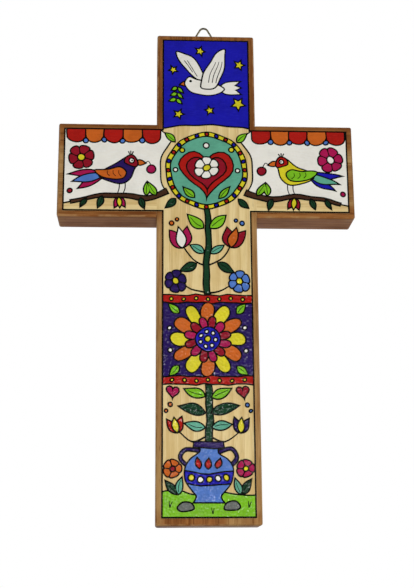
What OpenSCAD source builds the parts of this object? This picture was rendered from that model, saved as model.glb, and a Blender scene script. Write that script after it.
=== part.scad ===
// Painted wooden wall cross. Two brown-stained boards are half-lapped and glued. The front has a bare
// varnished field inside a brown border, with a picture in enamel, and a wire ring hinges in a folded
// strap nailed to the back.
// Millimetres, +Z up. The front looks along -Y and the back lies on the plane Y = 0.
// The origin is the centre of the crossing on the back.

/* [Boards] */
// Height of the upright
cross_h = 250; // [200:1:320]
// Length of the crossbar
cross_w = 149; // [120:1:200]
// Width of the upright
stem_w = 50; // [42:1:62]
// Height of the crossbar
bar_h = 49.5; // [42:0.5:62]
// Length of the upright above the crossbar
top_arm = 50; // [40:1:80]
// Thickness of both boards
board_t = 18; // [14:0.5:24]
// Radius of the outer corners seen from the front
corner_r = 1.2; // [0.4:0.1:4]
// Width of the sanded arris round the front
arris = 0.8; // [0.2:0.1:1.4]

/* [Border] */
// Width of the brown border on the front
border_w = 2.7; // [2:0.1:5]
// Width of the brown border at the foot
foot_border_w = 3.4; // [2:0.1:6]
// Width of the black line inside the border
frame_line_w = 0.8; // [0.4:0.1:1.5]

/* [Paint] */
// Thickness of one coat of paint
coat_t = 0.15; // [0.1:0.01:0.3]
// Width of the black lines in the picture
line_w = 0.72; // [0.4:0.01:0.9]
// Width of the finest stroke that the brush leaves
brush_w = 0.24; // [0.1:0.02:0.4]
// How far the edge of a coat draws in as it dries
wet_edge = 0.02; // [0.01:0.01:0.06]
// How far the drawing hand wanders from a true curve
hand = 0.3; // [0:0.01:0.5]

/* [Hanger] */
// Sideways place of the hanger on the upright
hanger_x = 0; // [-8:0.5:8]
// Depth of the ring's hinge line below the top edge
hinge_drop = 4; // [2:0.1:10]
// Diameter of the ring's wire
wire_d = 1; // [0.8:0.1:1.6]
// Width of the ring at its hinge bar, between wire centres
ring_w = 23; // [18:0.5:30]
// Height of the ring from hinge bar to apex, between wire centres
ring_h = 20.8; // [14:0.1:26]
// Bend radius at the ring's apex
apex_r = 2.4; // [1.2:0.1:4]
// Bend radius at the ring's two lower corners
bend_r = 1.5; // [1:0.1:3]
// Gap between the wire's two ends inside the strap
wire_gap = 0.6; // [0.2:0.1:2]
// Width of the strap
strap_w = 9; // [7:0.5:12]
// Length of the strap below the hinge line
strap_l = 15; // [13:0.5:22]
// Thickness of the strap's sheet
sheet_t = 0.5; // [0.3:0.05:0.8]
// Radial clearance of the ring's bar in the strap's fold
hinge_gap = 0.05; // [0.02:0.01:0.1]
// Diameter of the nail's shank
nail_d = 1.5; // [1.2:0.1:2]
// Length of the nail under its head
nail_l = 13; // [8:0.5:13.5]
// Diameter of the nail's head
nail_head_d = 4; // [3:0.1:5.5]
// Height of the nail's domed head
nail_head_h = 0.9; // [0.5:0.1:1.6]
// Radial room round the nail in the strap
nail_room = 0.15; // [0.05:0.05:0.4]
// Radial room round the nail in its hole in the wood
pilot_gap = 0.02; // [0.01:0.01:0.05]

/* [Hidden] */
$fn = 48;

// Boards
arm_l = (cross_w - stem_w) / 2;
top_z = bar_h / 2 + top_arm;
foot_z = top_z - cross_h;
foot_l = -foot_z - bar_h / 2;
lap_t = board_t / 2;

// Hanger
wire_r = wire_d / 2;
eye_r = wire_r + hinge_gap;
eye_out = eye_r + sheet_t;
hinge_y = eye_out;
hinge_z = top_z - hinge_drop;
fold_drop = 3 * eye_out;
nail_drop = strap_l * 0.55;
nail_z = hinge_z - nail_drop;
nail_tip_l = nail_d;
ring_lean = atan(ring_w / 2 / ring_h);
run_on = wire_d / 10;
bend_swell = wire_d / 50;

// Colours
C_STAIN = "#8a4f25";
C_WOOD = "#d9b27c";
C_STEEL = "#8d8a80";
C_BRASS = "#a08a55";
COLOURS = [
    ["deep_blue", "#1d1a9c"], ["light_blue", "#6fb4e6"], ["teal", "#3fa893"],
    ["green", "#63c11c"], ["dark_green", "#17602f"], ["yellow", "#f2d81c"],
    ["orange", "#ee8a1c"], ["red", "#d8391b"], ["crimson", "#b0122c"],
    ["magenta", "#c23a8c"], ["purple", "#5a2a86"], ["white", "#f4f2ea"],
    ["grey", "#8a8784"], ["brown", "#5e3a22"]
];
function shade(name) = [for (c = COLOURS) if (c[0] == name) c[1]][0];

// Levels of the picture, each painted over the ones below
LEVELS = ["ground", "behind", "body", "over", "detail", "dot", "tip"];
function above(level) = LEVELS[search([level], LEVELS)[0] + 1];

// Plan of the boards

module plan(x0, x1, z0, z1) {
    translate([x0, z0])
        square([x1 - x0, z1 - z0]);
}

// A board seen from the front, with its four corners rounded
module board_plan(x0, x1, z0, z1) {
    plan(x0 + corner_r, x1 - corner_r, z0, z1);
    plan(x0, x1, z0 + corner_r, z1 - corner_r);
    for (x = [x0 + corner_r, x1 - corner_r], z = [z0 + corner_r, z1 - corner_r])
        translate([x, z])
            circle(corner_r);
}

// The whole front drawn in by the given widths at the sides and at the foot
module front_plan(inset, foot_inset) {
    plan(-stem_w / 2 + inset, stem_w / 2 - inset, foot_z + foot_inset, top_z - inset);
    plan(-cross_w / 2 + inset, cross_w / 2 - inset, -bar_h / 2 + inset, bar_h / 2 - inset);
}

// Boards

module board(x0, x1, z0, z1) {
    rotate([90, 0, 0])
        linear_extrude(board_t)
            board_plan(x0, x1, z0, z1);
}

// Half-space that planes the front arris along one side, turned by the angle about Y
module plane_off(side, turn_y) {
    span = cross_h + cross_w;
    rotate([0, turn_y, 0])
        translate([side, -board_t, 0])
            rotate([0, 0, -45])
                translate([-arris / sqrt(2), -span / 2, -span / 2])
                    cube(span);
}

// Sanded arris all round the front: four ends and four inner corners
module arris_cut() {
    plane_off(cross_w / 2, 0);
    plane_off(cross_w / 2, 180);
    plane_off(top_z, -90);
    plane_off(-foot_z, 90);
    for (x_turn = [0, 180], z_turn = [-90, 90])
        intersection() {
            plane_off(stem_w / 2, x_turn);
            plane_off(bar_h / 2, z_turn);
        }
}

// The space that the other board fills at the crossing, in front or behind
module lap(y0) {
    translate([-stem_w / 2, y0, -bar_h / 2])
        cube([stem_w, lap_t, bar_h]);
}

module upright() {
    color(C_STAIN)
        difference() {
            board(-stem_w / 2, stem_w / 2, foot_z, top_z);
            arris_cut();
            lap(-lap_t);
            translate([hanger_x, 0, nail_z])
                rotate([90, 0, 0])
                    cylinder(r = nail_d / 2 + pilot_gap, h = 2 * nail_l, center = true);
        }
}

module crossbar() {
    color(C_STAIN)
        difference() {
            board(-cross_w / 2, cross_w / 2, -bar_h / 2, bar_h / 2);
            arris_cut();
            lap(-board_t);
        }
}

// Hanger

// Places parts drawn about the hinge line: x along the bar, y away from the back, z up
module at_hinge() {
    translate([hanger_x, hinge_y, hinge_z])
        children();
}

// A straight length of the wire that runs on into the bend at its end, and at its start where asked
module rod(from, to, run_in = 0) {
    d = (to - from) / norm(to - from);
    translate(from - run_in * d)
        rotate([0, acos(d.z), atan2(d.y, d.x)])
            cylinder(r = wire_r, h = norm(to - from) + run_in + run_on);
}

// A bend of the wire in the ring's plane, a little fuller than the straight wire
module bend(centre, r, from, sweep) {
    translate(centre)
        rotate([90, 0, 0])
            rotate([0, 0, from])
                rotate_extrude(angle = sweep)
                    translate([r, 0])
                        circle(wire_r + bend_swell);
}

// Triangle of bent wire that stands in the plane of the back, its ends meeting in the strap's fold
module hanger_ring() {
    base = 90 - ring_lean;
    low_x = ring_w / 2 - bend_r / tan(base / 2);
    apex_z = ring_h - apex_r / sin(ring_lean);
    out = [cos(ring_lean), 0, sin(ring_lean)];
    apex = [0, 0, apex_z];
    color(C_BRASS)
        at_hinge() {
            for (s = [-1, 1]) {
                corner = [s * low_x, 0, bend_r];
                side = [s * out.x, 0, out.z];
                rod([s * wire_gap / 2, 0, 0], [s * low_x, 0, 0]);
                rod(corner + bend_r * side, apex + apex_r * side, run_on);
                bend(corner, bend_r, s > 0 ? -90 : 180 - ring_lean, 90 + ring_lean);
            }
            bend(apex, apex_r, ring_lean, 180 - 2 * ring_lean);
        }
}

// Section of the strap: a strip doubled round the bar, its two leaves pressed together on the wood
module strap_section() {
    difference() {
        union() {
            circle(eye_out);
            polygon([
                [-eye_out, 0], [-eye_out, -strap_l], [2 * sheet_t - eye_out, -strap_l],
                [2 * sheet_t - eye_out, -fold_drop], [eye_out, 0]
            ]);
        }
        circle(eye_r);
        polygon([[-eye_r, 0], [-eye_r, -fold_drop], [eye_r, 0]]);
    }
}

module hanger_strap() {
    color(C_STEEL)
        at_hinge()
            difference() {
                intersection() {
                    rotate([90, 0, 90])
                        linear_extrude(strap_w, center = true)
                            strap_section();
                    rotate([90, 0, 0])
                        linear_extrude(4 * eye_out, center = true)
                            union() {
                                translate([0, strap_w / 2 - strap_l])
                                    circle(strap_w / 2);
                                plan(-strap_w / 2, strap_w / 2, strap_w / 2 - strap_l, eye_out);
                            }
                }
                translate([0, 0, -nail_drop])
                    rotate([90, 0, 0])
                        cylinder(r = nail_d / 2 + nail_room, h = 6 * eye_out, center = true);
            }
}

// Round-headed nail that holds the strap, turned as one profile
module hanger_nail() {
    r = nail_d / 2;
    dome_r = (nail_head_d * nail_head_d / 4 + nail_head_h * nail_head_h) / (2 * nail_head_h);
    color(C_STEEL)
        translate([hanger_x, 2 * sheet_t, nail_z])
            rotate([90, 0, 0]) {
                cylinder(r = r, h = nail_l - nail_tip_l);
                translate([0, 0, nail_l - nail_tip_l])
                    cylinder(r1 = r, r2 = r / 8, h = nail_tip_l);
                intersection() {
                    translate([0, 0, dome_r - nail_head_h])
                        sphere(dome_r);
                    translate([0, 0, -nail_head_h])
                        cylinder(r = nail_head_d / 2, h = nail_head_h);
                }
            }
}

// Curves of the picture

// Stretches one coordinate of the drawing's grid to the boards: the crossing, and the arms on each side
function reach(v, grid, mid, above, below) =
    v > grid / 2 ? mid / 2 + (v - grid / 2) * above
    : v < -grid / 2 ? -mid / 2 + (v + grid / 2) * below
    : v * mid / grid;

// A point of the drawing on the real boards, with the wander of a hand-drawn line. The drawing's grid has
// so many units across the crossing, along a side arm, up the top arm and down the foot
function canvas(p) =
    let (crossing = 50, side = 49.5, top = 50, foot = 150)
    [reach(p.x, crossing, stem_w, arm_l / side, arm_l / side),
     reach(p.y, crossing, bar_h, top_arm / top, foot_l / foot)]
    + hand * [sin(25 * p.y + 11 * p.x), sin(22 * p.x - 14 * p.y)];

function turned(p, a) = [p.x * cos(a) - p.y * sin(a), p.x * sin(a) + p.y * cos(a)];

// Smooth curve through four neighbouring points
function spline(a, b, c, d, t) =
    (2 * b + (c - a) * t + (2 * a - 5 * b + 4 * c - d) * t ^ 2 + (3 * b - a - 3 * c + d) * t ^ 3) / 2;

// Closed smooth outline through the points
function loop(pts, n = 6) =
    let (m = len(pts))
    [for (i = [0 : m - 1], j = [0 : n - 1])
        spline(pts[(i + m - 1) % m], pts[i], pts[(i + 1) % m], pts[(i + 2) % m], j / n)];

// Open smooth line through the points
function line(pts, n = 4) =
    let (m = len(pts) - 1)
    [for (i = [0 : m - 1], j = [0 : (i == m - 1 ? n : n - 1)])
        spline(pts[max(i - 1, 0)], pts[i], pts[i + 1], pts[min(i + 2, m)], j / n)];

function across(c, i) =
    let (d = c[min(i + 1, len(c) - 1)] - c[max(i - 1, 0)])
    [-d.y, d.x] / norm(d);

// Brush stroke along a smooth line, from one width to another
function stroke(pts, w0, w1) =
    let (c = line(pts), m = len(c) - 1)
    concat(
        [for (i = [0 : m]) c[i] + across(c, i) * (w0 + (w1 - w0) * i / m) / 2],
        [for (i = [m : -1 : 0]) c[i] - across(c, i) * (w0 + (w1 - w0) * i / m) / 2]);

function disc(r, n = 20) = [for (i = [0 : n - 1]) r * [cos(360 * i / n), sin(360 * i / n)]];

// Pointed leaf from the origin along +X
function leaf(l, w, n = 10) =
    concat(
        [for (i = [0 : n]) [l * i / n, w / 2 * sin(180 * (i / n) ^ 0.8)]],
        [for (i = [n - 1 : -1 : 1]) [l * i / n, -w / 2 * sin(180 * (i / n) ^ 0.8)]]);

// Round-ended petal from the origin along +X
function petal(l, w, n = 22) =
    [for (i = [0 : n - 1])
        let (a = 360 * i / n)
        [l * (1 - cos(a)) / 2, w / 1.3 * sin(a) * (1 - cos(a)) / 2]];

// Strip from side to side of the upright, with wavy edges
function band(h) =
    let (half = [for (x = [-30 : 4 : 30]) [x, h / 2 + 0.3 * sin(40 * x)]])
    concat(half, [for (i = [len(half) - 1 : -1 : 0]) [half[i].x, -half[i].y]]);

function star(r_out, r_in, n) =
    [for (i = [0 : 2 * n - 1]) (i % 2 == 0 ? r_out : r_in) * [sin(180 * i / n), cos(180 * i / n)]];

function heart(k, n = 36) =
    [for (i = [0 : n - 1])
        let (t = 360 * i / n)
        k * [16 * sin(t) ^ 3, 13 * cos(t) - 5 * cos(2 * t) - 2 * cos(3 * t) - cos(4 * t)]];

// Strokes of the picture

// Keeps its child where the level and the colour in hand are its own, drawn in or out by half a line
module ink(level, colour) {
    if (level == LEVELS[$level] && ($colour == colour || $colour == "all"))
        offset(delta = colour == "black" ? 0 : $grow)
            children();
}

module shape(pts, at = [0, 0], ang = 0, flip = 1) {
    polygon([for (p = pts) canvas(at + turned([p.x * flip, p.y], flip * ang))]);
}

// Flower of round petals with a round heart
module flower(at, r, n, colour, middle, level = "body", start = 0) {
    petal_w = 1.4 * r * tan(180 / n);
    for (i = [0 : n - 1])
        ink(level, colour)
            shape(petal(r, petal_w), at, start + 360 * i / n);
    ink(above(level), middle)
        shape(disc(0.3 * r), at);
}

module tulip(at, ang, size, outer, inner) {
    for (s = [-1, 1])
        ink("body", outer)
            shape(leaf(size, 0.52 * size), at, ang + s * 25);
    ink("over", inner)
        shape(leaf(0.95 * size, 0.42 * size), at, ang);
}

// Leaf with a dark rib
module rib_leaf(at, ang, l, w, colour, level = "body") {
    ink(level, colour)
        shape(leaf(l, w), at, ang);
    ink(above(level), "black")
        shape(stroke([[0.14 * l, 0], [0.45 * l, 0.03 * l], [0.8 * l, 0]], 0.4, 0.25), at, ang);
}

// Perched bird that looks along +X, or along -X where flip is -1
module bird(at, flip, body, head, wing, tail_a, tail_b) {
    for (i = [0 : 2])
        ink(i == 1 ? "body" : "behind", i == 1 ? tail_b : tail_a)
            shape(leaf(18 - i, 4.2), at + [-6.6 * flip, -0.4], 181 + 15 * i, flip);
    ink("body", "orange")
        shape(leaf(5.4, 3), at + [8.4 * flip, 6.4], -10, flip);
    for (x = [0.4, 3.2])
        ink("body", "black")
            shape(stroke([[x, -4], [x + 0.3, -8], [x - 0.2, -10.8]], 0.5, 0.5), at, 0, flip);
    for (a = [70, 95, 120])
        ink("body", "black")
            shape(stroke([[0, 0], [1.6, 0.1], [3.2, -0.2]], 0.35, 0.7),
                  at + [6.4 * flip, 8.6], a, flip);
    ink("over", body)
        shape(loop([[9.6, 6.2], [7.2, 9.6], [3.8, 8.4], [-1, 4.8], [-7.4, 1.6], [-9.6, -1.6],
                    [-4.4, -4.8], [1.8, -5.4], [6.6, -2.2], [8.4, 2.6]]), at, 0, flip);
    ink("detail", head)
        shape(loop([[9.6, 6.2], [7.2, 9.6], [3.8, 8.4], [3.2, 5.6], [6.2, 4.2], [9, 3.8]]), at, 0, flip);
    ink("detail", wing)
        shape(loop([[4.4, 0.8], [1.2, 3], [-4, 2], [-11.8, 1.6], [-8, -2.2], [-2.4, -3.6], [2.6, -2.4]]),
              at, 0, flip);
    for (i = [0 : 2])
        ink("dot", "black")
            shape(stroke([[1.6 - 3 * i, -1.9], [0.4 - 3 * i, -0.5], [0.6 - 3 * i, 1.2]], 0.42, 0.3),
                  at, 0, flip);
    ink("dot", "white")
        shape(disc(1.25), at + [6.5 * flip, 6.8]);
    ink("tip", "black")
        shape(disc(0.45, 10), at + [6.7 * flip, 6.8]);
}

// White bird in flight with a sprig
module dove(at) {
    ink("behind", "white")
        shape(loop([[-4, 1], [-10, 6], [-16, 16.6], [-9.4, 15], [-4.6, 10.6], [-1.6, 5], [-1.4, 1]]), at);
    for (i = [0 : 1])
        ink("body", "black")
            shape(stroke([[-5 - 2.2 * i, 3.4 + 2 * i], [-7.4 - 2 * i, 7.8 + 1.2 * i], [-10 - 1.4 * i, 12]],
                         0.4, 0.3), at);
    for (a = [-16, 1, 18])
        ink("behind", "white")
            shape(leaf(12, 4.4), at + [6, -3.4], a);
    ink("behind", "orange")
        shape(leaf(5, 2.6), at + [-9, -0.4], 196);
    ink("body", "white")
        shape(loop([[-11.4, -0.2], [-9.4, 2.8], [-5.6, 1.8], [0, 0.4], [6, -1.4], [8.8, -3.6],
                    [5, -6.4], [-1, -7.6], [-7, -6], [-10.4, -2.8]]), at);
    ink("over", "white")
        shape(loop([[-3.4, -2.6], [-1.2, 6], [4.6, 16], [9.6, 18.6],
                    [9.2, 10.6], [8, 4], [4.6, -2.4], [0.6, -4.2]]), at);
    for (i = [0 : 2])
        ink("detail", "black")
            shape(stroke([[0.6 + 2 * i, -0.6], [2.2 + 2.1 * i, 5], [4.4 + 1.7 * i, 11.4]], 0.42, 0.3), at);
    ink("over", "black")
        shape(disc(0.7, 10), at + [-8.6, 0.6]);
    ink("behind", "black")
        shape(stroke([[-13, -1.6], [-15.6, -5], [-16.2, -11]], 0.5, 0.4), at);
    for (i = [0 : 2], s = [0, 1])
        ink("body", "green")
            shape(leaf(4, 2.1), at + [-14.8 - 0.6 * i, -3.4 - 3 * i], s == 0 ? 205 : -42);
}

// Blue sky, bird and stars of the top arm
module top_picture() {
    stars = [[-17, 55.4, 2.5], [16.4, 36.6, 3.6], [17.4, 58.6, 3],
             [-3, 65.6, 2.8], [-13.8, 30.6, 2.9], [1.6, 33, 2.6]];
    ink("ground", "deep_blue")
        shape(concat(line([[-30, 21.5], [-14, 24], [0, 24.8], [14, 24], [30, 21.5]]), [[30, 80], [-30, 80]]));
    dove([0.5, 48.5]);
    for (p = stars)
        ink("body", "yellow")
            shape(star(p[2], 0.48 * p[2], 5), [p.x, p.y], 7 * p.x);
}

// Medallion with a flowered heart at the crossing
module middle_picture() {
    ring_r = 20.6;
    disc_r = 18.2;
    bead_n = 24;
    ink("ground", "yellow")
        shape(disc(ring_r, 56));
    for (i = [0 : bead_n - 1])
        ink("behind", i % 2 == 0 ? "red" : "deep_blue")
            shape(disc(1, 12), turned([(ring_r + disc_r) / 2, 0], 360 * i / bead_n));
    ink("behind", "teal")
        shape(disc(disc_r, 52));
    ink("body", "red")
        shape(heart(0.86), [0, -0.4]);
    ink("over", "crimson")
        shape(heart(0.62), [0, -0.5]);
    flower([0, 1.4], 6.2, 6, "white", "yellow", "detail", 30);
    for (s = [-1, 1]) {
        rib_leaf([s * 5.8, -15], 90 - s * 45, 8.6, 3.4, "green");
        ink("body", "white")
            shape(disc(1.2, 12), [s * 15.6, 0]);
        ink("body", "yellow")
            shape(disc(1.3, 12), [s * 12.4, 11]);
    }
    ink("body", "white")
        shape(disc(1.4, 12), [0, 13.4]);
    for (x = [-1, 1], y = [-1, 1])
        rib_leaf([x * 15.6, y * 15.2], 90 - x * (90 - y * 45), 7.2, 3.4, y > 0 ? "green" : "dark_green");
}

// One arm, drawn to the side that s gives: scalloped band, bird on a bough, and flowers on white
module arm_picture(s, body, head, wing, tail_a, tail_b, bloom, bloom_heart, bud) {
    pitch = 9.5;
    bough = [[19.6, -11.6], [30, -15.2], [44, -13.8], [56, -14.8], [67.5, -17.4]];
    round_middle = [for (a = [-28 : 4 : 44]) 23.4 * [cos(a), sin(a)]];
    arm_end = [[22.2, 21.5], [22.2, 30], [80, 30], [80, -20]];
    leaves = [[25.6, -13.6, 62, 8], [33, -15, 250, 6.2], [52.4, -14.6, 286, 6.4],
              [60, -15.6, 300, 5.4], [30.6, -13.6, 97, 7]];
    ink("ground", "white")
        shape(concat(round_middle, arm_end, [for (i = [4 : -1 : 1]) bough[i]]), [0, 0], 0, s);
    for (i = [0 : 4])
        ink("behind", i % 2 == 0 ? "red" : "orange")
            shape(concat([[-pitch / 2, 8], [pitch / 2, 8]],
                         [for (a = [0 : -15 : -180]) [pitch / 2 * cos(a), 4.2 * sin(a)]]),
                  [s * (27.8 + pitch * i), 18.6]);
    for (i = [0 : 3])
        ink("body", "light_blue")
            shape(disc(1.3, 12), [s * (27.8 + pitch * (i + 0.5)), 15.6]);
    ink("behind", "brown")
        shape(stroke(bough, 3, 1.6), [0, 0], 0, s);
    bird([s * 44.4, -2], -s, body, head, wing, tail_a, tail_b);
    flower([s * 62.8, 6.4], 6.6, 6, bloom, bloom_heart, "body", 10);
    for (p = leaves)
        rib_leaf([s * p.x, p.y], s > 0 ? p[2] : 180 - p[2], p[3], 0.48 * p[3],
                 p[2] > 100 ? "dark_green" : "green");
    tulip([s * 43.6, -14.8], 270, 6.4, bud, "yellow");
    ink("body", "black")
        shape(stroke([[31.4, 3.4], [29.4, 4.4], [28.2, 1.6]], 0.5, 0.4), [0, 0], 0, s);
    ink("body", bud)
        shape(disc(2.2), [s * 28, 0]);
    ink("body", bloom)
        shape(disc(1.2, 12), [s * 68.4, -12]);
}

// Stalk with leaves, tulips and a large rosette up the middle of the upright
module stem_picture() {
    rosette = [0, -87];
    panel_h = 44;
    edge_h = 3.9;
    petal_n = 12;
    outer_r = 18.5;
    inner_r = 11.4;
    ink("ground", "dark_green")
        shape(stroke([[0, -20.4], [0.8, -36], [-0.6, -52], [0, panel_h / 2 + rosette.y + 0.4]], 2.6, 3));
    ink("ground", "dark_green")
        shape(stroke([[0, -panel_h / 2 + rosette.y - 0.4], [0.7, -122], [0, -140]], 3, 3.4));
    ink("ground", "purple")
        shape(band(panel_h), rosette);
    for (s = [-1, 1]) {
        ink("behind", "red")
            shape(band(edge_h), rosette + [0, s * (panel_h - edge_h) / 2]);
        for (x = [-17.4 : 5.8 : 17.4])
            ink("body", "yellow")
                shape(disc(0.85, 12), rosette + [x, s * (panel_h - edge_h) / 2]);
        for (y = [-1, 1])
            rib_leaf(rosette + [s * 13.8, y * 12.9], 90 - s * (90 - y * 44), 7.2, 4, "green", "behind");
        for (y = [-1, 1])
            ink("behind", "white")
                shape(disc(1.05, 12), rosette + [s * 18.2, y * 5.4]);
    }
    for (s = [-1, 1]) {
        ink("ground", "black")
            shape(stroke([[0.6, -50], [7, -47], [11.6, -40]], 1, 0.7), [0, 0], 0, s);
        ink("ground", "black")
            shape(stroke([[0.4, -64], [8, -62], [15.4, -56]], 1, 0.7), [0, 0], 0, s);
        ink("ground", "black")
            shape(stroke([[0.6, -134], [8, -136], [14.4, -131.6]], 1, 0.7), [0, 0], 0, s);
        rib_leaf([s * 1.4, -31], 90 - s * 50, 11, 5, "green");
        rib_leaf([s * 1.4, -43.4], 90 - s * 62, 8, 3.8, "teal");
        rib_leaf([s * 5.4, -49], 90 - s * 118, 9.2, 4.2, "dark_green");
        tulip([s * 11.8, -41], 90 - s * 14, 11.4, s > 0 ? "crimson" : "magenta", s > 0 ? "orange" : "white");
        flower([s * 15.6, -58.2], 5.6, 6, s > 0 ? "light_blue" : "purple", "yellow", "body", 20);
        rib_leaf([s * 1.4, -115], 90 - s * 68, 11, 4.8, "green");
        rib_leaf([s * 1.4, -122.4], 90 - s * 76, 13.6, 5.4, "dark_green");
        rib_leaf([s * 1.4, -129.6], 90 - s * 80, 10, 4.4, "teal");
        tulip([s * 15, -132.4], 90 - s * 8, 8.4, s > 0 ? "purple" : "red", "yellow");
        ink("body", s > 0 ? "crimson" : "magenta")
            shape(heart(0.2, 20), [s * 16.8, -112.6], s * 8);
        for (p = [[17.6, -28.4, 1.2], [14.6, -26.6, 0.9], [18.4, -118.6, 1], [20, -121.6, 0.8]])
            ink("body", s > 0 ? "light_blue" : "orange")
                shape(disc(p[2], 12), [s * p.x, p.y]);
    }
    for (i = [0 : petal_n - 1])
        ink("behind", i % 2 == 0 ? "yellow" : "orange")
            shape(petal(outer_r, 1.32 * outer_r * tan(180 / petal_n), 26), rosette, 360 * i / petal_n);
    for (i = [0 : petal_n - 1])
        ink("body", i % 2 == 0 ? "crimson" : "magenta")
            shape(petal(inner_r, 1.3 * inner_r * tan(180 / petal_n)), rosette, 360 * (i + 0.5) / petal_n);
    ink("over", "deep_blue")
        shape(disc(5.9, 26), rosette);
    for (i = [0 : 6])
        ink("detail", "white")
            shape(disc(0.95, 12), rosette + turned([3.6, 0], 360 * i / 7));
    ink("detail", "yellow")
        shape(disc(1.4), rosette);
}

// Half outline of the vase from lip to foot, mirrored into the whole, above the foot of the drawing
VASE = [[5.2, 37.4], [4.4, 33.8], [8.6, 30.4], [11.6, 26], [11, 20.6], [7.4, 16], [5.8, 13.4], [7.6, 10.6]];
function vase() =
    let (side = line(VASE))
    concat(side, [for (i = [len(side) - 1 : -1 : 0]) [-side[i].x, side[i].y]]);

// Vase on the grass, drawn up from the foot
module foot_picture() {
    foot = [0, -175];
    ink("ground", "green")
        shape(concat(line([[-30, 14.6], [-16, 16.4], [-6, 14.4], [6, 15.6], [17, 13.6], [30, 15.6]]),
                     [[30, -5], [-30, -5]]), foot);
    for (x = [-18, -13, 1.5, 13.4, 18.6], a = [72, 100])
        ink("behind", "black")
            shape(stroke([[0, 0], [1.4, 0.1], [2.8, 0]], 0.5, 0.3), foot + [x, 5.6 + 0.008 * x ^ 2], a);
    ink("behind", "light_blue")
        shape(vase(), foot);
    ink("body", "deep_blue")
        intersection() {
            shape(vase(), foot);
            shape(concat(line([[-14, 25.4], [0, 23.8], [14, 25.4]]),
                         line([[14, 20], [0, 18.2], [-14, 20]])), foot);
        }
    for (i = [-2 : 2])
        ink("over", i % 2 == 0 ? "yellow" : "white")
            shape(disc(1.45, 14), foot + [4.2 * i, 21.2 + 0.18 * i ^ 2]);
    ink("body", "purple")
        shape(stroke([[-7.4, 37.6], [0, 37], [7.4, 37.6]], 3, 3), foot);
    for (i = [-1 : 1])
        ink("body", "red")
            shape(leaf(5, 3), foot + [4.2 * i, 26.2], 90 - 12 * i);
    for (s = [-1, 1]) {
        ink("ground", "purple")
            shape(stroke([[4, 34], [10.6, 35.4], [13.2, 31.4], [10, 27]], 1.7, 1.7), foot, 0, s);
        rib_leaf(foot + [s * 15.4, 14], 90 - s * 34, 8.6, 3.8, "dark_green");
        rib_leaf(foot + [s * 14.6, 14], 90 + s * 14, 8.4, 3.6, "teal");
        flower(foot + [s * 17.2, 26.4], 4.3, 5, s > 0 ? "magenta" : "orange", s > 0 ? "yellow" : "crimson");
        ink("body", "grey")
            shape(loop([[-3.6, -1.6], [-2.4, 1.6], [1.4, 2], [3.8, -0.6], [1.6, -2.2]]),
                  foot + [s * 11, 9], 0, s);
    }
}

module picture() {
    top_picture();
    middle_picture();
    arm_picture(-1, "purple", "crimson", "orange", "magenta", "light_blue", "crimson", "yellow", "magenta");
    arm_picture(1, "yellow", "red", "green", "deep_blue", "teal", "magenta", "white", "crimson");
    stem_picture();
    foot_picture();
}

// Every stroke of one level and colour, drawn in or out
module strokes(level, colour, grow) {
    $level = level;
    $colour = colour;
    $grow = grow;
    picture();
}

module strokes_over(level) {
    for (l = [level + 1 : len(LEVELS) - 1])
        strokes(l, "all", line_w / 2);
}

// What shows of one colour once everything above it is painted
module colour_plan(colour) {
    intersection() {
        front_plan(border_w + frame_line_w, foot_border_w + frame_line_w);
        for (l = [0 : len(LEVELS) - 1])
            difference() {
                strokes(l, colour, -line_w / 2);
                strokes_over(l);
            }
    }
}

// Black coat: the line inside the border, and the ground that shows as a line round each colour
module black_plan() {
    difference() {
        front_plan(border_w, foot_border_w);
        front_plan(border_w + frame_line_w, foot_border_w + frame_line_w);
    }
    intersection() {
        front_plan(border_w, foot_border_w);
        strokes_over(-1);
    }
}

// Varnish and paint

// One coat on the front over the given number of others
module coat(under) {
    translate([0, -board_t - under * coat_t, 0])
        rotate([90, 0, 0])
            linear_extrude(coat_t)
                children();
}

// Leaves out what is too fine for the brush, and draws the wet edge in a little
module brushed() {
    offset(delta = -wet_edge)
        intersection() {
            offset(delta = brush_w / 2)
                offset(delta = -brush_w / 2)
                    children();
            children();
        }
}

module varnish_upright() {
    color(C_WOOD)
        coat(0)
            intersection() {
                front_plan(border_w, foot_border_w);
                plan(-stem_w / 2, stem_w / 2, foot_z, top_z);
            }
}

module varnish_crossbar() {
    color(C_WOOD)
        coat(0)
            difference() {
                front_plan(border_w, foot_border_w);
                plan(-stem_w / 2, stem_w / 2, foot_z, top_z);
            }
}

module black_line() {
    color("#14100d")
        coat(1)
            brushed()
                black_plan();
}

module paint(colour) {
    color(shade(colour))
        coat(2)
            brushed()
                colour_plan(colour);
}

upright();
crossbar();
hanger_strap();
hanger_ring();
hanger_nail();
varnish_upright();
varnish_crossbar();
black_line();
for (c = COLOURS)
    paint(c[0]);
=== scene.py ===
# Looks of the painted wall cross: stained boards, varnished wood, enamel and the wire hanger.
# Metres, +Z up, the front looks along -Y, as in the frame.
import math

import bmesh
import bpy
from mathutils import Matrix, Vector

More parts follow.
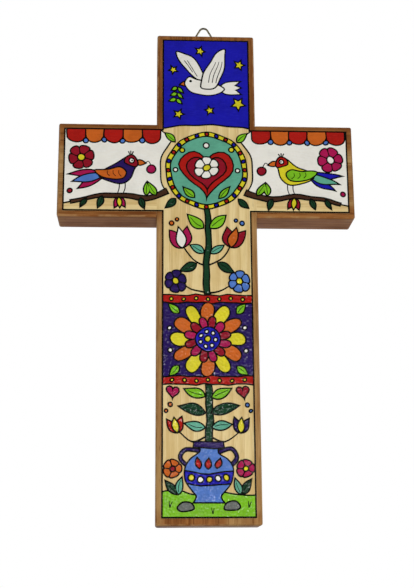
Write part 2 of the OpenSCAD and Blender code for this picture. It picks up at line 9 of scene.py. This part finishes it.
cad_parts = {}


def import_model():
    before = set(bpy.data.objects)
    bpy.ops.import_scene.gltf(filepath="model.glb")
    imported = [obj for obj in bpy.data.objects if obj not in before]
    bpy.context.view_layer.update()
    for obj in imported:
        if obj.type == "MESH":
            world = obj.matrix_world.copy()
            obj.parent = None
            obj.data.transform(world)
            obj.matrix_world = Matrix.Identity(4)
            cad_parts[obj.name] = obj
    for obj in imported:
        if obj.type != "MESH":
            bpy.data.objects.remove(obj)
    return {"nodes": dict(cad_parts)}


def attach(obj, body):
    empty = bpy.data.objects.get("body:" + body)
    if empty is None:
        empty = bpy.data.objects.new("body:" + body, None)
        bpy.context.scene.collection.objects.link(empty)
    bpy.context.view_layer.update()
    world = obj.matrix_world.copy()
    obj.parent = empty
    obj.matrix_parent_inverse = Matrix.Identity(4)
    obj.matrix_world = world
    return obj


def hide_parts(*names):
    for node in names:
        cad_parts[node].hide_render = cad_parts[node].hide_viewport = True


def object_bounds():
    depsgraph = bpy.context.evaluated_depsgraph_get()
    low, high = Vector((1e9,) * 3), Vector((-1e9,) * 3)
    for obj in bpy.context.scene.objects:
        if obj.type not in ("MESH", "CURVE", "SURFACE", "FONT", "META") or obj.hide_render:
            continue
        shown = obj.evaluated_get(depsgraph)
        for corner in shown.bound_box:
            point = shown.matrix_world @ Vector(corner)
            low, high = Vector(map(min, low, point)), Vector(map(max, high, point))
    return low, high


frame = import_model()
cad_low, cad_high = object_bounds()

# Photograph: its height in pixels, and the camera fitted to the edges of the boards, turned in degrees
IMAGE_H = 588
FOCAL_PX = 1098.2
SENSOR_MM = 36
CAMERA_AT = Vector((-0.0282, -0.5361, -0.2006))
CAMERA_TURN = 3.09
CAMERA_RISE = 14.72
CAMERA_ROLL = -0.43

# Lamps: place, width, power in watts, and whether gloss mirrors the lamp
LAMPS = {
    "front": ((0.02, -0.56, -0.24), 0.14, 1.12, False),
    "spark": ((0.05, -0.58, -0.07), 0.030, 0.22, True),
    "left": ((-0.95, -0.80, 0.20), 0.70, 3.1, True),
    "right": ((0.95, -0.80, 0.10), 0.70, 4.1, True),
    "rear": ((0.40, 0.90, 0.60), 0.70, 4.0, True),
}
ROOM_LIGHT = 0.20
ROOM_TINT = (1.0, 0.99, 0.97, 1)
WHITE = (1, 1, 1, 1)

# Floor: half its width, how far it lies below the foot, and the two greys of its paper
FLOOR_HALF = 3.0
FLOOR_DROP = 0.40
PAPER = ((0.80, 0.80, 0.79), (0.84, 0.84, 0.83))

# Enamel colours, as they look in plain light, and how strongly their gloss mirrors
ENAMELS = {
    "deep_blue": (0.008, 0.007, 0.400),
    "light_blue": (0.078, 0.185, 0.550),
    "teal": (0.115, 0.395, 0.270),
    "green": (0.200, 0.520, 0.014),
    "dark_green": (0.005, 0.044, 0.016),
    "yellow": (0.700, 0.610, 0.020),
    "orange": (0.580, 0.120, 0.012),
    "red": (0.410, 0.008, 0.004),
    "crimson": (0.270, 0.004, 0.016),
    "magenta": (0.390, 0.006, 0.076),
    "purple": (0.018, 0.005, 0.100),
    "white": (0.840, 0.815, 0.740),
    "grey": (0.130, 0.140, 0.125),
    "brown": (0.060, 0.022, 0.010),
    "black": (0.003, 0.003, 0.002),
}
ENAMEL_GLOSS = 0.3
BLACK_GLOSS = 0.08

# Wood tones: early and late growth, fibres between them, and what lies over these
FULL_STAIN = {
    "early": (0.285, 0.105, 0.027),
    "late": (0.150, 0.046, 0.010),
    "fibre": (0.335, 0.138, 0.037),
}
FADED_STAIN = {
    "early": (0.460, 0.280, 0.102),
    "late": (0.300, 0.152, 0.046),
    "fibre": (0.500, 0.315, 0.128),
}
BARE_WOOD = {
    "early": (0.755, 0.590, 0.282),
    "late": (0.625, 0.442, 0.178),
    "fibre": (0.855, 0.695, 0.380),
}
STAIN_POOL = (0.140, 0.042, 0.009)
STAIN_PORE = (0.060, 0.022, 0.008)
END_GRAIN = (0.115, 0.052, 0.020)
RUBBED_WOOD = (0.460, 0.270, 0.115)
YELLOWED = (0.600, 0.400, 0.140)
BARE_PORE = (0.330, 0.200, 0.085)

# Metal tones: bright, then dulled
PLATE = ((0.55, 0.53, 0.49), (0.36, 0.33, 0.28))
WIRE = ((0.31, 0.275, 0.185), (0.14, 0.12, 0.07))

# Gap between growth rings, how far they sway, and the gap that the wave texture has at scale 1
STAINED_RING_GAP = 0.0034
BARE_RING_GAP = 0.0042
RING_SWAY = (0.006, 0.006, 0)
WAVE_GAP = math.tau / 20

# Depths of the relief in each surface
GRAIN_DEPTH = 0.00007
SANDED_DEPTH = 0.00002
VARNISH_DEPTH = 0.00010
DIMPLE_DEPTH = 0.00020
SWELL_DEPTH = 0.00009
SCRATCH_DEPTH = 0.00002
PIT_DEPTH = 0.00004

# Turns that bring the grain of each board onto the Z axis of its texture
GRAIN_UP = (0, 0, 0)
GRAIN_ACROSS = (0, math.pi / 2, 0)

# Boards: turn of the grain, axis that it runs along, shift of the texture off the pith, and the stretch
# along that axis where the stain is paler, which comes in over the first two places and goes out over the
# last two
BOARDS = {
    "upright": (GRAIN_UP, "Z", (0.013, 0.034, 0), (-0.172, -0.164, -0.034, -0.016)),
    "crossbar": (GRAIN_ACROSS, "X", (0.009, 0.041, 0), (-0.090, -0.080, -0.073, -0.064)),
}

# Rubbed edges: how far vertices may lie apart and still be one, the turn under which faces are one
# plane and over which an edge is sharp, and the radius that wear leaves, in so many steps
WELD = 0.000001
ONE_PLANE = math.radians(1)
SHARP = math.radians(30)
RUBBED = 0.00035
RUBBED_STEPS = 3


class Graph:
    """The nodes of one material or world, added from the texture to the shader."""

    def __init__(self, owner):
        owner.use_nodes = True
        self.owner = owner
        self.nodes = owner.node_tree.nodes
        self.links = owner.node_tree.links

    def put(self, socket, value):
        """Links an output to the socket, or sets a constant on it."""
        if isinstance(value, bpy.types.NodeSocket):
            self.links.new(value, socket)
        else:
            socket.default_value = value

    def node(self, kind, inputs, **settings):
        made = self.nodes.new(kind)
        for key, value in settings.items():
            setattr(made, key, value)
        for key, value in inputs.items():
            self.put(made.inputs[key], value)
        return made

    def finish(self, **inputs):
        """Sets the material's sockets, with spaces written as underscores."""
        shader = self.nodes["Principled BSDF"]
        for key, value in inputs.items():
            self.put(shader.inputs[key.replace("_", " ")], value)
        return self.owner

    def place(self):
        return self.node("ShaderNodeTexCoord", {}).outputs["Object"]

    def normal(self):
        return self.node("ShaderNodeTexCoord", {}).outputs["Normal"]

    def mapped(self, vector, scale=(1, 1, 1), turn=(0, 0, 0), shift=(0, 0, 0)):
        inputs = {"Vector": vector, "Scale": scale, "Rotation": turn, "Location": shift}
        return self.node("ShaderNodeMapping", inputs).outputs["Vector"]

    def noise(self, vector, scale, detail=2.0, rough=0.5):
        inputs = {"Vector": vector, "Scale": scale, "Detail": detail, "Roughness": rough}
        return self.node("ShaderNodeTexNoise", inputs).outputs["Fac"]

    def drift(self, vector, scale):
        """A noise vector about zero, which pushes a texture out of true."""
        made = self.node("ShaderNodeTexNoise", {"Vector": vector, "Scale": scale, "Detail": 2.0})
        return self.vector("SUBTRACT", made.outputs["Color"], (0.5, 0.5, 0.5))

    def vector(self, operation, a, b):
        return self.node("ShaderNodeVectorMath", {0: a, 1: b}, operation=operation).outputs["Vector"]

    def math(self, operation, a, b=0.0):
        return self.node("ShaderNodeMath", {0: a, 1: b}, operation=operation).outputs["Value"]

    def axes(self, vector):
        return self.node("ShaderNodeSeparateXYZ", {"Vector": vector}).outputs

    def span(self, value, low, high, to_low=0.0, to_high=1.0):
        """Eases the value from low and high to the second pair."""
        inputs = {"Value": value, "From Min": low, "From Max": high, "To Min": to_low, "To Max": to_high}
        made = self.node("ShaderNodeMapRange", inputs, interpolation_type="SMOOTHSTEP")
        return made.outputs["Result"]

    def mix(self, factor, a, b):
        made = self.node("ShaderNodeMix", {"Factor": factor}, data_type="RGBA")
        for name, value in (("A_Color", a), ("B_Color", b)):
            socket = next(s for s in made.inputs if s.identifier == name)
            self.put(socket, value if isinstance(value, bpy.types.NodeSocket) else (*value, 1))
        return next(s for s in made.outputs if s.identifier == "Result_Color")

    def bump(self, height, depth, under=None):
        inputs = {"Height": height, "Distance": depth, "Strength": 1.0}
        if under is not None:
            inputs["Normal"] = under
        return self.node("ShaderNodeBump", inputs).outputs["Normal"]

    def blend(self, factor, a, b):
        return self.node("ShaderNodeMixShader", {"Fac": factor, 1: a, 2: b}).outputs["Shader"]

    def shows_white(self, behind):
        """1 for what the camera sees, and for what gloss mirrors from the side behind the cross."""
        path = self.node("ShaderNodeLightPath", {}).outputs
        mirrored = self.math("MAXIMUM", path["Is Glossy Ray"], path["Is Transmission Ray"])
        return self.math("MAXIMUM", path["Is Camera Ray"], self.math("MULTIPLY", mirrored, behind))


def material(name):
    return Graph(bpy.data.materials.new(name))


def timber(g, turn, pith, ring_gap):
    """Solid wood with its grain along the turned Z: (growth rings, fibres, pores), each from 0 to 1."""
    at = g.mapped(g.place(), turn=turn)
    sway = g.vector("MULTIPLY", g.drift(g.mapped(at, (1, 1, 0.12)), 34), RING_SWAY)
    ring_at = g.mapped(g.vector("ADD", at, sway), shift=pith)
    rings = g.node(
        "ShaderNodeTexWave",
        {"Vector": ring_at, "Scale": WAVE_GAP / ring_gap, "Distortion": 0.6, "Detail": 2.0},
        wave_type="RINGS",
        rings_direction="Z",
        wave_profile="SAW",
    ).outputs["Fac"]
    fibres = g.noise(g.mapped(at, (2300, 2300, 55)), scale=1, detail=5, rough=0.6)
    pores = g.span(g.noise(g.mapped(at, (3600, 3600, 190)), scale=1), 0.66, 0.74)
    return rings, fibres, pores


def stained_wood(name, turn, along, pith, paler_stretch):
    """Brown wiped stain on a sanded board, paler over a set stretch of it, rubbed at the arris."""
    g = material(name)
    rings, fibres, pores = timber(g, turn, pith, STAINED_RING_GAP)
    at = g.place()
    ring = g.span(rings, 0.1, 1.0)
    fibre = g.span(fibres, 0.36, 0.70)

    # Stain wiped along the grain, which pools in some places and is thin in others
    wiped = g.mapped(g.mapped(at, turn=turn), (1, 1, 0.35))
    cloud = g.noise(wiped, scale=60, detail=4, rough=0.6)
    full = g.mix(ring, FULL_STAIN["early"], FULL_STAIN["late"])
    full = g.mix(fibre, full, FULL_STAIN["fibre"])
    full = g.mix(g.span(cloud, 0.44, 0.66, 0.0, 0.7), full, STAIN_POOL)
    faded = g.mix(ring, FADED_STAIN["early"], FADED_STAIN["late"])
    faded = g.mix(fibre, faded, FADED_STAIN["fibre"])
    # The stain is made paler over the stretch given for this board in BOARDS: most of the lower stem, and
    # the end of the crossbar on the -X side
    way = g.axes(at)[along]
    paler_share = g.math("MULTIPLY", g.span(way, paler_stretch[0], paler_stretch[1]), g.span(way, paler_stretch[2], paler_stretch[3], 1.0, 0.0))
    patches = g.noise(g.mapped(wiped, shift=(7.7, 1.7, 0.4)), scale=44, detail=3, rough=0.55)
    thin = g.math("ADD", patches, g.math("MULTIPLY", paler_share, 0.16))
    tone = g.mix(g.span(thin, 0.48, 0.70, 0.0, 0.85), full, faded)
    tone = g.mix(g.math("MULTIPLY", pores, 0.7), tone, STAIN_PORE)

    # End grain drinks more stain, and the arris loses it
    facing = g.axes(g.normal())
    end = g.span(g.math("ABSOLUTE", facing[along]), 0.80, 0.95)
    tone = g.mix(g.math("MULTIPLY", end, 0.40), tone, END_GRAIN)
    lean = g.math("ABSOLUTE", facing["Y"])
    arris = g.math("MULTIPLY", g.span(lean, 0.25, 0.6), g.span(lean, 0.88, 0.99, 1.0, 0.0))
    chafed = g.span(g.noise(at, scale=210, detail=4, rough=0.65), 0.40, 0.62)
    rubbed = g.math("MULTIPLY", arris, chafed)
    tone = g.mix(g.math("MULTIPLY", rubbed, 0.5), tone, RUBBED_WOOD)

    relief = g.math("SUBTRACT", fibres, g.math("MULTIPLY", pores, 0.8))
    return g.finish(
        Base_Color=tone,
        Roughness=g.span(cloud, 0.3, 0.7, 0.42, 0.60),
        Specular_IOR_Level=0.09,
        Normal=g.bump(relief, GRAIN_DEPTH),
    )


def varnished_wood(name, turn, pith):
    """Pale bare wood under a thin clear varnish that yellows in patches."""
    g = material(name)
    rings, fibres, pores = timber(g, turn, pith, BARE_RING_GAP)
    at = g.place()
    cloud = g.noise(at, scale=38, detail=3)
    tone = g.mix(g.span(rings, 0.25, 1.0), BARE_WOOD["early"], BARE_WOOD["late"])
    tone = g.mix(g.span(fibres, 0.42, 0.72, 0.0, 0.7), tone, BARE_WOOD["fibre"])
    tone = g.mix(g.span(cloud, 0.42, 0.70, 0.0, 0.45), tone, YELLOWED)
    tone = g.mix(g.math("MULTIPLY", pores, 0.5), tone, BARE_PORE)
    flow = g.noise(at, scale=420)
    return g.finish(
        Base_Color=tone,
        Roughness=g.span(cloud, 0.3, 0.7, 0.34, 0.46),
        Specular_IOR_Level=0.15,
        Normal=g.bump(flow, VARNISH_DEPTH, g.bump(fibres, SANDED_DEPTH)),
    )


def enamel(name, colour, gloss):
    """Brushed paint: uneven in depth, streaked, and dimpled enough to glint where it is glossy."""
    g = material(name)
    at = g.place()
    patch = g.noise(at, scale=120, detail=3, rough=0.6)
    streak = g.noise(g.mapped(at, (260, 260, 1400), (0, 0.5, 0)), scale=1, detail=3, rough=0.6)
    deep = tuple((0.70 + 0.25 * min(colour)) * c for c in colour)
    light = tuple(min(1.10 * c + 0.006, 0.86) for c in colour)
    tone = g.mix(g.span(patch, 0.40, 0.64, 0.0, 0.5), colour, deep)
    tone = g.mix(g.span(streak, 0.48, 0.70, 0.0, 0.5), tone, light)
    cells = {"Vector": at, "Scale": 730, "Smoothness": 0.4}
    reach = g.node("ShaderNodeTexVoronoi", cells, feature="SMOOTH_F1").outputs["Distance"]
    dimples = g.math("MULTIPLY", reach, reach)
    swell = g.noise(at, scale=330)
    return g.finish(
        Base_Color=tone,
        Roughness=g.span(patch, 0.3, 0.7, 0.09, 0.16),
        Specular_IOR_Level=gloss,
        Normal=g.bump(dimples, DIMPLE_DEPTH, g.bump(swell, SWELL_DEPTH)),
    )


def metal(name, bright, tarnish):
    """Drawn or plated steel, dulled and specked with age."""
    g = material(name)
    at = g.place()
    age = g.noise(at, scale=1400, detail=4, rough=0.65)
    scratch = g.noise(g.mapped(at, (5000, 900, 900), (0.3, 0.2, 0.7)), scale=1)
    return g.finish(
        Base_Color=g.mix(g.span(age, 0.38, 0.66), bright, tarnish),
        Metallic=1.0,
        Roughness=g.span(age, 0.35, 0.7, 0.26, 0.50),
        Normal=g.bump(scratch, SCRATCH_DEPTH, g.bump(age, PIT_DEPTH)),
    )


def pale_floor(name):
    """Pale paper: near white where it is seen, darker in the shadow of the cross, and clear from below."""
    g = material(name)
    at = g.place()
    g.finish(
        Base_Color=g.mix(g.span(g.noise(at, scale=9, detail=4), 0.3, 0.7), *PAPER),
        Roughness=0.8,
        Specular_IOR_Level=0.0,
    )
    seen = g.shows_white(g.span(g.axes(at)["Y"], 0.0, 0.4))
    far = g.node("ShaderNodeVectorMath", {0: at}, operation="LENGTH").outputs["Value"]
    share = g.math("MULTIPLY", seen, g.span(far, 0.5, 2.6, 0.70, 1.0))
    glow = g.node("ShaderNodeEmission", {"Color": WHITE, "Strength": 1.0}).outputs["Emission"]
    above = g.blend(share, g.nodes["Principled BSDF"].outputs["BSDF"], glow)
    below = g.node("ShaderNodeBsdfTransparent", {}).outputs["BSDF"]
    under = g.node("ShaderNodeNewGeometry", {}).outputs["Backfacing"]
    g.put(g.nodes["Material Output"].inputs["Surface"], g.blend(under, above, below))
    return g.owner


def linked(name, data):
    """A new object of the scene."""
    made = bpy.data.objects.new(name, data)
    bpy.context.scene.collection.objects.link(made)
    return made


def softened(node, name):
    """A copy of a CAD board with every sharp edge rubbed round, shown in its place."""
    form = bmesh.new()
    form.from_mesh(frame["nodes"][node].data)
    bmesh.ops.remove_doubles(form, verts=form.verts, dist=WELD)
    bmesh.ops.dissolve_limit(form, angle_limit=ONE_PLANE, verts=form.verts, edges=form.edges)
    sharp = [e for e in form.edges if e.is_manifold and e.calc_face_angle() > SHARP]
    bmesh.ops.bevel(form, geom=sharp, offset=RUBBED, segments=RUBBED_STEPS, profile=0.5, affect="EDGES")
    for face in form.faces:
        face.smooth = True
    mesh = bpy.data.meshes.new(name)
    form.to_mesh(mesh)
    form.free()
    piece = linked(name, mesh)
    piece.modifiers.new("flat_faces", "WEIGHTED_NORMAL").keep_sharp = True
    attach(piece, "cross")
    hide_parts(node)
    return piece


def dress(piece, finish):
    """Gives a piece its material."""
    for place in piece.material_slots:
        place.material = finish
    if not piece.material_slots:
        piece.data.materials.append(finish)


def dress_cross():
    nodes = frame["nodes"]
    for node, (turn, along, pith, paler_stretch) in BOARDS.items():
        board = softened(node, f"{node}_board")
        dress(board, stained_wood(f"stain_{node}", turn, along, pith, paler_stretch))
        dress(nodes[f"varnish_{node}"], varnished_wood(f"bare_{node}", turn, pith))
    for colour, value in ENAMELS.items():
        node = "black_line" if colour == "black" else f"paint_{colour}"
        gloss = BLACK_GLOSS if colour == "black" else ENAMEL_GLOSS
        dress(nodes[node], enamel(f"{colour}_enamel", value, gloss))
    plate = metal("plated_steel", *PLATE)
    dress(nodes["hanger_strap"], plate)
    dress(nodes["hanger_nail"], plate)
    dress(nodes["hanger_ring"], metal("wire", *WIRE))


def camera():
    """The photograph's view: from below the foot and a little to the left, looking up."""
    turn, rise, roll = (math.radians(a) for a in (CAMERA_TURN, CAMERA_RISE, CAMERA_ROLL))
    ahead = Vector((math.sin(turn) * math.cos(rise), math.cos(turn) * math.cos(rise), math.sin(rise)))
    right = Vector((math.cos(turn), -math.sin(turn), 0))
    up = right.cross(ahead)
    across = math.cos(roll) * right + math.sin(roll) * up
    upward = math.cos(roll) * up - math.sin(roll) * right
    data = bpy.data.cameras.new("camera")
    data.sensor_width = SENSOR_MM
    data.lens = FOCAL_PX * SENSOR_MM / IMAGE_H
    data.clip_start = 0.01
    made = linked("camera", data)
    aim = Matrix((across, upward, -ahead)).transposed().to_4x4()
    made.matrix_world = Matrix.Translation(CAMERA_AT) @ aim
    bpy.context.scene.camera = made


def lamp(name, at, size, power, mirrored):
    """Soft square lamp aimed at the middle of the cross, which gloss may mirror."""
    data = bpy.data.lights.new(name, "AREA")
    data.size = size
    data.energy = power
    made = linked(name, data)
    made.location = at
    made.rotation_euler = ((cad_low + cad_high) / 2 - Vector(at)).to_track_quat("-Z", "Y").to_euler()
    made.visible_glossy = mirrored


def floor():
    low = cad_low.z - FLOOR_DROP
    mesh = bpy.data.meshes.new("floor")
    corners = [(x * FLOOR_HALF, y * FLOOR_HALF, low) for x, y in ((-1, -1), (1, -1), (1, 1), (-1, 1))]
    mesh.from_pydata(corners, [], [(0, 1, 2, 3)])
    mesh.materials.append(pale_floor("pale_floor"))
    linked("floor", mesh)


def world():
    """Dim even room light, with white behind the cross for the camera, and for what mirrors that side."""
    made = bpy.data.worlds.new("studio")
    g = Graph(made)
    room = g.nodes["Background"]
    g.put(room.inputs["Color"], ROOM_TINT)
    g.put(room.inputs["Strength"], ROOM_LIGHT)
    white = g.node("ShaderNodeBackground", {"Color": WHITE, "Strength": 1.0}).outputs["Background"]
    way = g.axes(g.node("ShaderNodeTexCoord", {}).outputs["Generated"])["Y"]
    behind = g.node("ShaderNodeMapRange", {"Value": way, "From Min": -0.1, "From Max": 0.3})
    seen = g.shows_white(behind.outputs["Result"])
    g.put(g.nodes["World Output"].inputs["Surface"], g.blend(seen, room.outputs["Background"], white))
    bpy.context.scene.world = made


dress_cross()
camera()
floor()
world()
for lamp_name, settings in LAMPS.items():
    lamp(lamp_name, *settings)
bpy.context.scene.view_settings.view_transform = "Standard"
